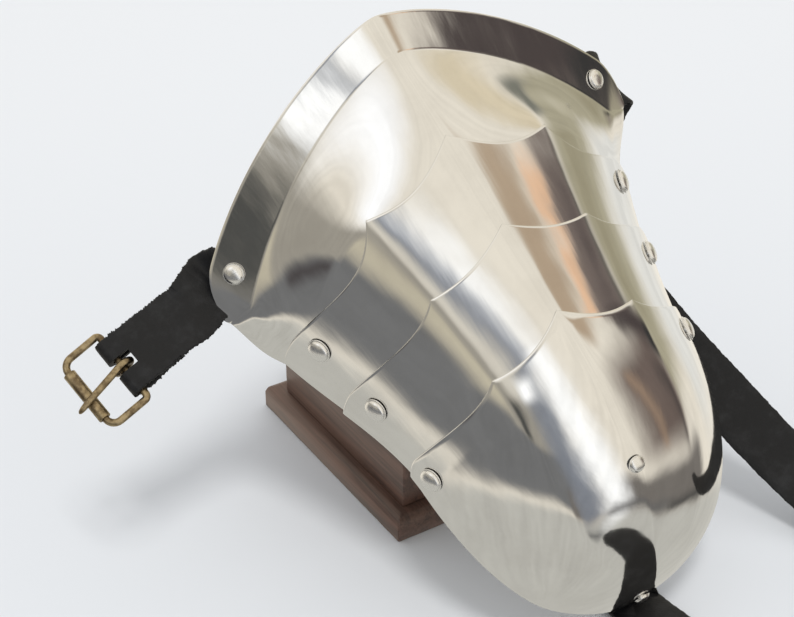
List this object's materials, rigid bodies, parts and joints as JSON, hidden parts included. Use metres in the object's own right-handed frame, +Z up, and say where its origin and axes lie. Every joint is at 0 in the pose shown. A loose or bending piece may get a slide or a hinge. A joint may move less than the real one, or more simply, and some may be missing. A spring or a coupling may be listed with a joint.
{
  "type": "pauldron on a wooden stand",
  "caption": "Polished steel pauldron of overlapping riveted plates with black leather straps and a roller buckle, leaning on a dark wooden stand.",
  "frame": {"origin": "centre of the stand base's underside, on the surface that it stands on", "axes": "+Z up, +Y along the base's longer side, away from the dome's end, +X to the long strap's side"},
  "size_m": [0.3632, 0.3287, 0.2468],
  "materials": {
    "polished_steel": "mirror polished steel",
    "black_leather": "smooth black grain",
    "antique_brass": "antiqued",
    "dark_wood": "dark stain, satin"
  },
  "bodies": {
    "root": {"stand_base": "dark_wood", "stand_block": "dark_wood", "stand_post": "dark_wood", "flared_plate": "polished_steel", "strap_rivet_left": "polished_steel", "strap_rivet_right": "polished_steel", "buckle_strap": "black_leather", "long_strap": "black_leather"},
    "first_lame": {"first_lame": "polished_steel", "pivot_rivet_left_1": "polished_steel", "pivot_rivet_right_1": "polished_steel"},
    "second_lame": {"second_lame": "polished_steel", "pivot_rivet_left_2": "polished_steel", "pivot_rivet_right_2": "polished_steel"},
    "dome": {"domed_plate": "polished_steel", "pivot_rivet_left_3": "polished_steel", "pivot_rivet_right_3": "polished_steel", "centre_rivet": "polished_steel", "end_rivet": "polished_steel", "end_strap": "black_leather"},
    "buckle": {"buckle_frame": "antique_brass"},
    "roller": {"buckle_roller": "antique_brass"},
    "tongue": {"buckle_tongue": "antique_brass"}
  },
  "joints": [
    {"name": "first_lame_hinge", "type": "hinge", "parent": "root", "child": "first_lame", "pos_m": [-0.01675, -0.072, 0.14286], "axis": [0.9589, -0.0671, 0.2756], "range_deg": [0, 4]},
    {"name": "second_lame_hinge", "type": "hinge", "parent": "first_lame", "child": "second_lame", "pos_m": [-0.01264, -0.09752, 0.12235], "axis": [0.9589, -0.0671, 0.2756], "range_deg": [0, 4]},
    {"name": "dome_hinge", "type": "hinge", "parent": "second_lame", "child": "dome", "pos_m": [-0.00808, -0.12492, 0.09983], "axis": [0.9589, -0.0671, 0.2756], "range_deg": [0, 4]},
    {"name": "buckle_hinge", "type": "hinge", "parent": "root", "child": "buckle", "pos_m": [-0.15989, -0.02712, 0.11633], "axis": [-0.2636, 0.7963, 0.5445], "range_deg": [-45, 20]},
    {"name": "tongue_hinge", "type": "hinge", "parent": "buckle", "child": "tongue", "pos_m": [-0.15989, -0.02712, 0.11633], "axis": [-0.2636, 0.7963, 0.5445], "range_deg": [0, 85]},
    {"name": "roller_spin", "type": "hinge", "parent": "buckle", "child": "roller", "pos_m": [-0.17625, -0.02598, 0.10674], "axis": [-0.2636, 0.7963, 0.5445], "continuous": true}
  ]
}
